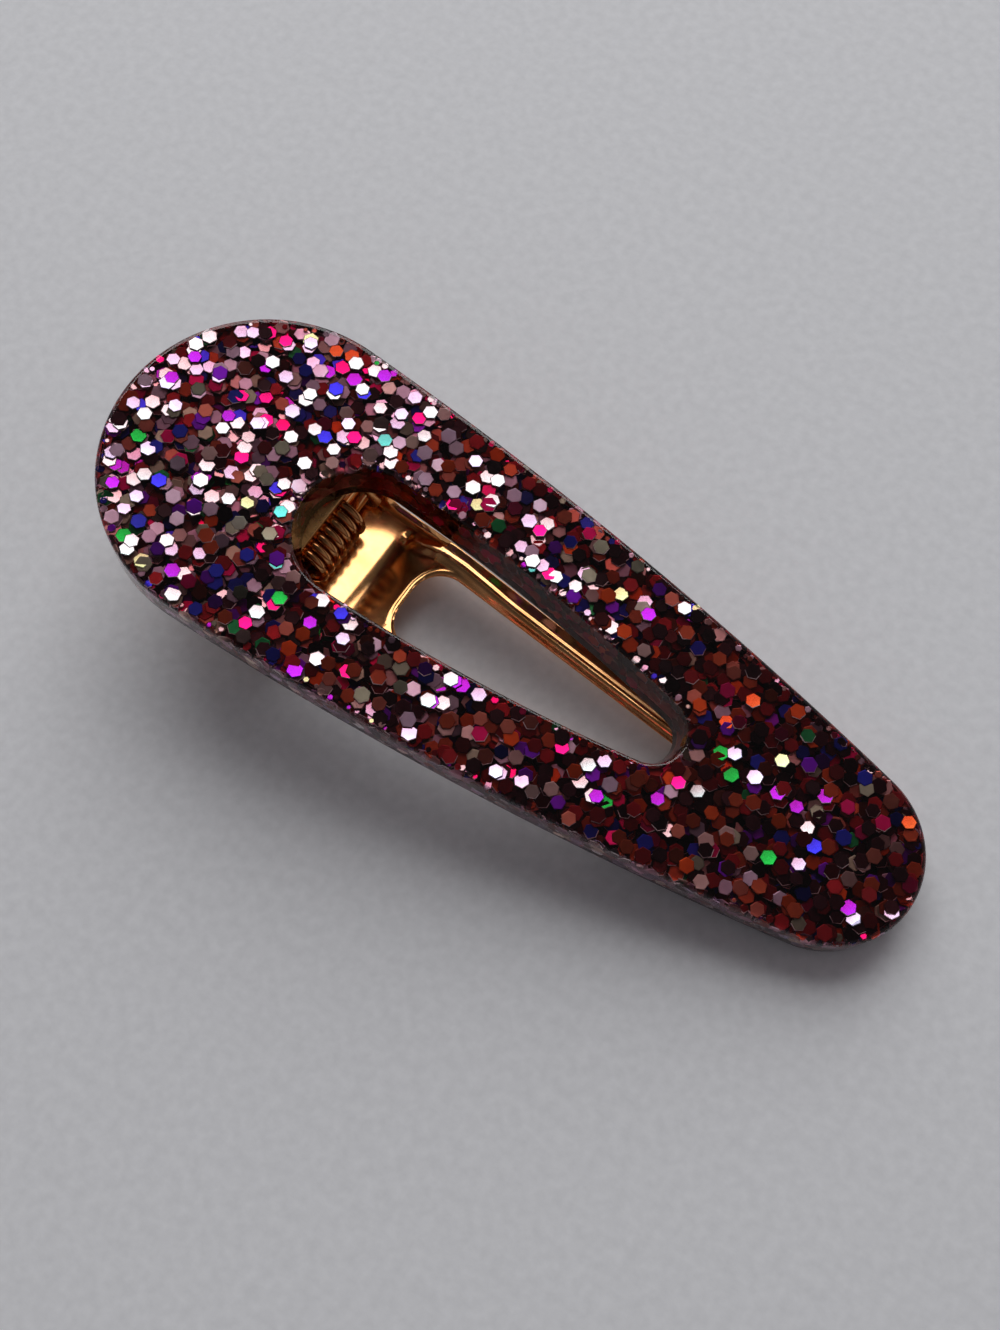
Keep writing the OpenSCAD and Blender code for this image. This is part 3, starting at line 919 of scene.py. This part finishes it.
def taper_side(x1, corner_y, r1, x2, r2):
    """Distance across of a tapered shape's side: a corner circle, a straight line and an end circle."""
    lean = asin((r1 - r2) / hypot(x2 - x1, corner_y)) + atan(corner_y / (x2 - x1))
    wide = (x1 + r1 * sin(lean), corner_y + r1 * cos(lean))
    narrow = (x2 + r2 * sin(lean), r2 * cos(lean))

    def side(x):
        if x < wide[0]:
            return corner_y + sqrt(max(0.0, r1 ** 2 - (x - x1) ** 2))
        if x > narrow[0]:
            return sqrt(max(0.0, r2 ** 2 - (x - x2) ** 2))
        return wide[1] + (narrow[1] - wide[1]) * (x - wide[0]) / (narrow[0] - wide[0])
    return side


SHOULDER = taper_side(HOLLOW_X, 0, SHOULDER_R, TIP_X - TIP_R, TIP_R)
HOLLOW = taper_side(HOLLOW_CORNER_X, HOLLOW_CORNER_Y, HOLLOW_CORNER_R, HOLLOW_FRONT_X, HOLLOW_FRONT_R)


def rear_corner(x, back_x, half_w, r):
    """Distance across the clip of a sheet's side whose rear corner is rounded."""
    if x < back_x + r:
        return half_w - r + sqrt(max(0.0, r ** 2 - (back_x + r - x) ** 2))
    return half_w


def jaw_side(x):
    if x > HOLLOW_X:
        return SHOULDER(x)
    shoulder = sqrt(max(0.0, SHOULDER_R ** 2 - (x - HOLLOW_X) ** 2))
    return max(rear_corner(x, TAIL_X, BASE_HALF_W, TAIL_CORNER_R), shoulder)


def arm_height(x):
    """Height of the arms' upper face on their straight run."""
    start_z = BASE_Z + (ARM_X - STEP_X) * tan(radians(STEP_SLOPE))
    return start_z + (x - ARM_X) * (TIP_Z - start_z) / (TIP_X - ARM_X)


def jaw_profile():
    """Upper face of the jaw in the side view, from beyond the tail's end to beyond the tip."""
    back_x, front_x = TAIL_X - PROFILE_LEAD, TIP_X + PROFILE_LEAD
    line = (
        (back_x, BASE_Z - (TAIL_BEND_X - back_x) * tan(radians(TAIL_SLOPE))), (TAIL_BEND_X, BASE_Z),
        (DIP_BACK_X, BASE_Z), (DIP_X, BASE_Z - DIP), (RISE_END_X, arm_height(RISE_END_X)),
        (front_x, arm_height(front_x)))
    return np.array(bent(line, BEND_RADII))


PROFILE = jaw_profile()

# Crest of the ridge on each arm: distance from the wide end's edge, and distance from the middle
RIDGE = np.array(((27.3, 5.3), (31, 5.6), (34, 5.45), (40, 4.56), (71, 1.45))) * MM
RIDGE_RISE, RIDGE_IN_W, RIDGE_OUT_W = 0.3 * MM, 0.75 * MM, 0.65 * MM
# Lengths over which the ridge rises at its back and sinks at its front
RIDGE_BACK_L, RIDGE_FRONT_L = 2.4 * MM, 3 * MM
# Round dimple at the ridge's back end
DIMPLE_DEPTH, DIMPLE_R = 0.22 * MM, 0.45 * MM
# Turned edges: how far they drop, their width, and the most that counts of it beyond the edge
OUTER_DROP, OUTER_W, OUTER_MOST = 0.1 * MM, 0.25 * MM, 1.5
INNER_DROP, INNER_W, INNER_MOST = 0.36 * MM, 0.7 * MM, 1.1
# How far before the hollow the outer edge starts to turn down
ARM_LEAD = 3 * MM
# Shallow dish across the base
DISH_R = 45 * MM
DISH_BACK_X, DISH_LEAD = 19 * MM, 2 * MM


def smooth_step(t):
    t = np.clip(t, 0, 1)
    return t * t * (3 - 2 * t)


def from_hollow(x, across):
    """Distance from the edge of the jaw's hollow, outwards."""
    beside = across - np.vectorize(HOLLOW)(np.clip(x, HOLLOW_CORNER_X, HOLLOW_END_X))
    past_corner = np.hypot(HOLLOW_CORNER_X - x, np.maximum(0, across - HOLLOW_CORNER_Y)) - HOLLOW_CORNER_R
    return np.where(x < HOLLOW_CORNER_X, past_corner, beside)


def ridge(x, across):
    """Rise of the ridge along an arm."""
    away = across - np.interp(x, RIDGE[:, 0], RIDGE[:, 1])
    back = smooth_step((x - RIDGE[0, 0]) / RIDGE_BACK_L)
    front = smooth_step((RIDGE[-1, 0] - x) / RIDGE_FRONT_L)
    inner = np.clip(1 - (away / RIDGE_IN_W) ** 2, 0, 1)
    outer = 1 - smooth_step(away / RIDGE_OUT_W)
    return back * front * RIDGE_RISE * np.where(away < 0, inner, outer)


def dish(x, y):
    """Rise of the base towards its sides."""
    back = smooth_step((x - DISH_BACK_X) / DISH_LEAD)
    front = 1 - smooth_step((x - STEP_X) / (ARM_X - STEP_X))
    return back * front * y ** 2 / (2 * DISH_R)


def dimple(x, across):
    spot = np.hypot(x - RIDGE[0, 0], across - RIDGE[0, 1])
    return DIMPLE_DEPTH * np.exp(-(spot / DIMPLE_R) ** 2)


def outer_turn(x, across):
    """Drop of the turned edge along an arm's outer side."""
    on_arm = smooth_step((x - HOLLOW_X + ARM_LEAD) / ARM_LEAD)
    inward = np.vectorize(jaw_side)(x) - across
    return on_arm * OUTER_DROP * np.clip(1 - inward / OUTER_W, 0, OUTER_MOST) ** 2


def inner_turn(x, across):
    """Drop of the turned edge all round the hollow, up to its nose."""
    before_nose = 1 - smooth_step((x - HOLLOW_FRONT_X) / HOLLOW_FRONT_R)
    return INNER_DROP * before_nose * np.clip(1 - from_hollow(x, across) / INNER_W, 0, INNER_MOST) ** 2


def jaw_height(x, y):
    """Height of the jaw's upper face over the plan."""
    across = np.abs(y)
    z = np.interp(x, PROFILE[:, 0], PROFILE[:, 1]) + ridge(x, across) + dish(x, y)
    return z - dimple(x, across) - outer_turn(x, across) - inner_turn(x, across)


def corner_stations(x, r, angles):
    """Places along the clip on a rounded rear corner that starts at x."""
    return [x + r * (1 - cos(radians(a))) for a in angles]


def end_stations(x, r, angles):
    """Places along the clip on a round front end that is widest at x."""
    return [x + r * sin(radians(a)) for a in angles]


def jaw_sheet():
    """The jaw's sheet, meshed more finely where it bends."""
    plan = Plan()
    tail = corner_stations(TAIL_X, TAIL_CORNER_R, range(0, 90, 9))
    base = [np.arange(*columns) * MM for columns in BASE_COLUMNS]
    back = np.concatenate([tail] + base + [np.linspace(STEP_COLUMNS_X, HOLLOW_X, STEP_COLUMNS)])
    corner = corner_stations(HOLLOW_X, HOLLOW_CORNER_R, range(0, 91, 6))
    front = end_stations(HOLLOW_FRONT_X, HOLLOW_FRONT_R, range(10, 91, 10))
    arms = np.concatenate((corner, np.arange(*ARM_COLUMNS) * MM, front))
    tip = end_stations(TIP_X - TIP_R, TIP_R, range(0, 85, 7))
    nose = np.concatenate(([HOLLOW_END_X], np.arange(*NOSE_COLUMNS) * MM, tip))
    plan.strip(back, lambda x: 0.0, lambda x: HOLLOW_CORNER_Y, MIDDLE_CELLS)
    plan.strip(back, lambda x: HOLLOW_CORNER_Y, jaw_side, BAR_CELLS)
    plan.strip(arms, lambda x: HOLLOW(x) if x < HOLLOW_END_X - 1e-9 else 0.0, jaw_side, BAR_CELLS)
    plan.strip(nose, lambda x: 0.0, jaw_side, BAR_CELLS)
    return sheet(plan.points, plan.quads, jaw_height)


def jaw_ear_outline():
    """Side view of an ear round the pin and the low flange that runs on to the arm."""
    sink = SHEET_T / 2
    front_x = ARM_X + FLANGE_LEAD
    flange_z = BASE_Z + FLANGE_H
    foot = [
        (JAW_EAR_BACK_X, BASE_Z - sink), (DIP_BACK_X, BASE_Z - sink), (DIP_X, BASE_Z - DIP - sink),
        (RISE_END_X, arm_height(RISE_END_X) - sink), (front_x, arm_height(front_x) - sink)]
    return foot + [(STEP_X, flange_z), (JAW_EAR_FRONT_X, flange_z)] + arc(*HINGE, JAW_EAR_R, -8, 188, 26)


def lower_jaw(gold):
    shape = joined([jaw_sheet()] + ears(jaw_ear_outline(), JAW_EAR_Y))
    return metal_piece("jaw", "lower_jaw", shape, "jaw", gold)


def lever_ear_outline():
    """Side view of one of the lever's ears, from its back round the pin to its front."""
    top = LEVER_TOP_Z - SHEET_T / 2
    back = [(LEVER_EAR_BACK_X + ahead, top - depth) for ahead, depth in LEVER_EAR_BACK]
    front = [(LEVER_FRONT_X + ahead, top - depth) for ahead, depth in LEVER_EAR_FRONT]
    return back + arc(*HINGE, LEVER_EAR_R, 225, 360, 20) + front


def lever_side(x):
    return rear_corner(x, LEVER_BACK_X, LEVER_HALF_W, LEVER_CORNER_R)


def upper_lever(finish):
    plan = Plan()
    corner = corner_stations(LEVER_BACK_X, LEVER_CORNER_R, range(0, 91, 9))
    stations = np.concatenate((corner, np.arange(*LEVER_COLUMNS) * MM, [LEVER_FRONT_X]))
    plan.strip(stations, lambda x: 0.0, lever_side, LEVER_CELLS)
    flat = sheet(plan.points, plan.quads, lambda x, y: np.full(np.shape(x), LEVER_TOP_Z))
    shape = joined([flat] + ears(lever_ear_outline(), LEVER_EAR_Y))
    metal_piece("lever", "upper_lever", shape, "holder", finish)


def hinge_pin(gold):
    """Pin with two domed, riveted heads, turned about its own axis."""
    x, z = HINGE
    half = [(HEAD_FACE_Y + out, r) for out, r in HEAD_PROFILE]
    profile = [(-y, r) for y, r in reversed(half)] + half
    verts = []
    for y, r in profile:
        for k in range(PIN_SIDES):
            t = tau * k / PIN_SIDES
            verts.append((x + r * cos(t), y, z + r * sin(t)))
    shape = (verts, tube_faces(len(profile), PIN_SIDES))
    metal_piece("pin", "hinge_pin", shape, "holder", gold)


# Spring

def coil_point(turn, y):
    """Point on the coil: degrees from the top, turning forwards and down, and place across the clip."""
    t = radians(turn)
    return Vector((HINGE[0] + COIL_R * sin(t), y, HINGE[1] + COIL_R * cos(t)))


def wire(path):
    """Closed round wire along a path, with rounded cut ends."""
    n = len(path)
    verts = []
    start = [(0, share, -past) for share, past in WIRE_END]
    end = [(n - 1, share, past) for share, past in reversed(WIRE_END)]
    rings = start + [(i, 1, 0) for i in range(n)] + end
    for i, share, ahead in rings:
        heading = (path[min(i + 1, n - 1)] - path[max(i - 1, 0)]).normalized()
        side = heading.cross(Vector((0, 1, 0)))
        side = side.normalized() if side.length > 0.001 else Vector((1, 0, 0))
        up = side.cross(heading)
        centre = path[i] + heading * ahead
        for k in range(WIRE_SIDES):
            t = tau * k / WIRE_SIDES
            verts.append(centre + (side * cos(t) + up * sin(t)) * (WIRE_R * share))
    return verts, tube_faces(len(rings), WIRE_SIDES)


def spring(finish):
    """Coil with the leg that lies under the upper lever at the far side."""
    top = Vector((HINGE[0], COIL_FAR_Y, HINGE[1] + COIL_R))
    reach = Vector((-LEG_REACH, 0, UPPER_LEG_RISE))
    leg = [top + reach * (k / UPPER_LEG_STEPS) for k in range(UPPER_LEG_STEPS, 0, -1)]
    coil = [
        coil_point(360 * i / COIL_STEPS, COIL_FAR_Y - COIL_PITCH * i / COIL_STEPS)
        for i in range(COIL_TURNS * COIL_STEPS + 1)]
    metal_piece("coil", "spring", wire(leg + coil), "holder", finish)


def lower_leg_corners():
    """Side view of the lower leg's line: out of the coil, down to the tail and along it."""
    low_z = HINGE[1] - COIL_R
    end_x = HINGE[0] - LEG_REACH
    slope = radians(TAIL_SLOPE)
    land_z = BASE_Z + WIRE_R + LEG_GAP - LEG_LAND_DROP
    end_z = BASE_Z - (TAIL_BEND_X - end_x) * tan(slope) + (WIRE_R + LEG_GAP) / cos(slope)
    return [
        (HINGE[0], low_z), (TAIL_BEND_X + LEG_TURN_AHEAD, low_z),
        (TAIL_BEND_X - LEG_LAND_BEHIND, land_z), (end_x, end_z)]


def spring_lower_leg(finish):
    """Last turn of the wire at the near side, and the leg that lies on the jaw's tail."""
    y = COIL_FAR_Y - COIL_TURNS * COIL_PITCH - 2 * WIRE_R - TURN_GAP
    path = [coil_point(TURN_START + (TURN_END - TURN_START) * i / TURN_STEPS, y) for i in range(TURN_STEPS)]
    leg = [Vector((p.x, y, p.y)) for p in bent(lower_leg_corners(), (LEG_BEND_R, LEG_BEND_R), 6)]
    for a, b in zip(leg, leg[1:]):
        path += [a.lerp(b, k / LEG_CUTS) for k in range(1, LEG_CUTS + 1)]
    metal_piece("lower_leg", "spring_lower_leg", wire(path), "jaw", finish)


def metal():
    """All the metal pieces. Returns the jaw, which has lights of its own."""
    gold = plated("gold_plate", (0.95, 0.51, 0.22, 1), (0.88, 0.38, 0.13, 1), 0.1, 0.08, 0.2)
    dull = plated("lever_plate", (0.8, 0.44, 0.18, 1), (0.58, 0.29, 0.1, 1), 0.2, 0.16, 0.3)
    # Spring wire darker than the gold plating: painted shade of its place under the plate
    dark = plated("spring_wire", (0.62, 0.29, 0.11, 1), (0.42, 0.16, 0.06, 1), 0.07, 0.07, 0.2)
    jaw = lower_jaw(gold)
    upper_lever(dull)
    hinge_pin(gold)
    spring(dark)
    spring_lower_leg(dark)
    return jaw


# Studio

def camera():
    """Camera at the photograph's viewing angle. Returns its place in the plate's frame."""
    azimuth, elevation, roll = radians(CAMERA_AZIMUTH), radians(CAMERA_ELEVATION), radians(CAMERA_ROLL)
    back = Vector((sin(azimuth) * cos(elevation), -cos(azimuth) * cos(elevation), sin(elevation)))
    right = (-back).cross(UP).normalized()
    up = right.cross(-back)
    right, up = right * cos(roll) + up * sin(roll), up * cos(roll) - right * sin(roll)
    eye = CAMERA_TARGET + back * CAMERA_DISTANCE
    place = Matrix.Translation(eye) @ Matrix((right, up, back)).transposed().to_4x4()
    data = bpy.data.cameras.new("camera")
    data.sensor_width = SENSOR
    data.lens = SENSOR * FOCAL_PIXELS / IMAGE_HEIGHT
    data.clip_start = 0.01
    piece = new_object("camera", data)
    piece.matrix_world = REST @ place
    bpy.context.scene.camera = piece
    return eye


def toward(azimuth, elevation, distance):
    """Point in the row frame at an azimuth and elevation in degrees."""
    a, e = radians(azimuth), radians(elevation)
    return Vector((cos(a) * cos(e), sin(a) * cos(e), sin(e))) * distance


def lamp(name, azimuth, elevation, distance, size, watts):
    """Flat lamp that faces the clip."""
    data = bpy.data.lights.new(name, "AREA")
    data.shape = "RECTANGLE"
    data.size, data.size_y = size
    data.energy = watts
    piece = new_object(name, data)
    piece.location = toward(azimuth, elevation, distance)
    piece.rotation_euler = piece.location.to_track_quat("Z", "Y").to_euler()
    return piece


def keep_to(light, piece):
    """Lets a lamp light one piece alone, as black flags round the lamp would."""
    group = bpy.data.collections.new(light.name + "_reach")
    group.objects.link(piece)
    light.light_linking.receiver_collection = group


def room():
    """Soft room light, dimmer on the camera's side and overhead."""
    nodes = Nodes(bpy.data.worlds.new("room"), "Background", Strength=ROOM_STRENGTH)
    split = nodes.add("SeparateXYZ")
    nodes.join(nodes.add("TexCoord").outputs["Generated"], split.inputs["Vector"])
    across = nodes.between(split.outputs["Y"], 0, 1, ROOM_CHANGE)
    above = nodes.between(split.outputs["Z"], 1, CEILING_SHARE, CEILING_FADE)
    colour = nodes.ramp(across, (0, ROOM_BEHIND), (1, ROOM_AHEAD))
    nodes.feed("Color", nodes.scaled(colour, above))
    bpy.context.scene.world = nodes.owner


def floor():
    """Sheet of pale grey paper with a faint grain."""
    half = 1.5
    mesh = bpy.data.meshes.new("floor")
    corners = [(-half, -half, 0), (half, -half, 0), (half, half, 0), (-half, half, 0)]
    mesh.from_pydata(corners, [], [(0, 1, 2, 3)])
    nodes = principled("paper", Roughness=0.9)
    grain = nodes.noise(900, 5)
    paper = nodes.ramp(grain, (0.3, rgb(234, 235, 238)), (0.7, rgb(244, 245, 248)))
    nodes.feed("Base Color", paper)
    nodes.bump(grain, 0.35, 0.05 * MM)
    mesh.materials.append(nodes.owner)
    new_object("floor", mesh)


def jaw_lights(jaw):
    """Card over the jaw and a warm glow on it, which reach nothing else."""
    keep_to(lamp("card", *CARD), jaw)
    glow = lamp("glow", *GLOW)
    glow.data.color = GLOW_COLOUR
    glow.data.use_shadow = False
    keep_to(glow, jaw)


def main():
    bpy.context.scene.view_settings.view_transform = "Standard"
    eye = camera()
    window = lamp("window", *WINDOW)
    room()
    floor()
    resin()
    glitter(eye, REST.inverted() @ window.location)
    jaw_lights(metal())


main()
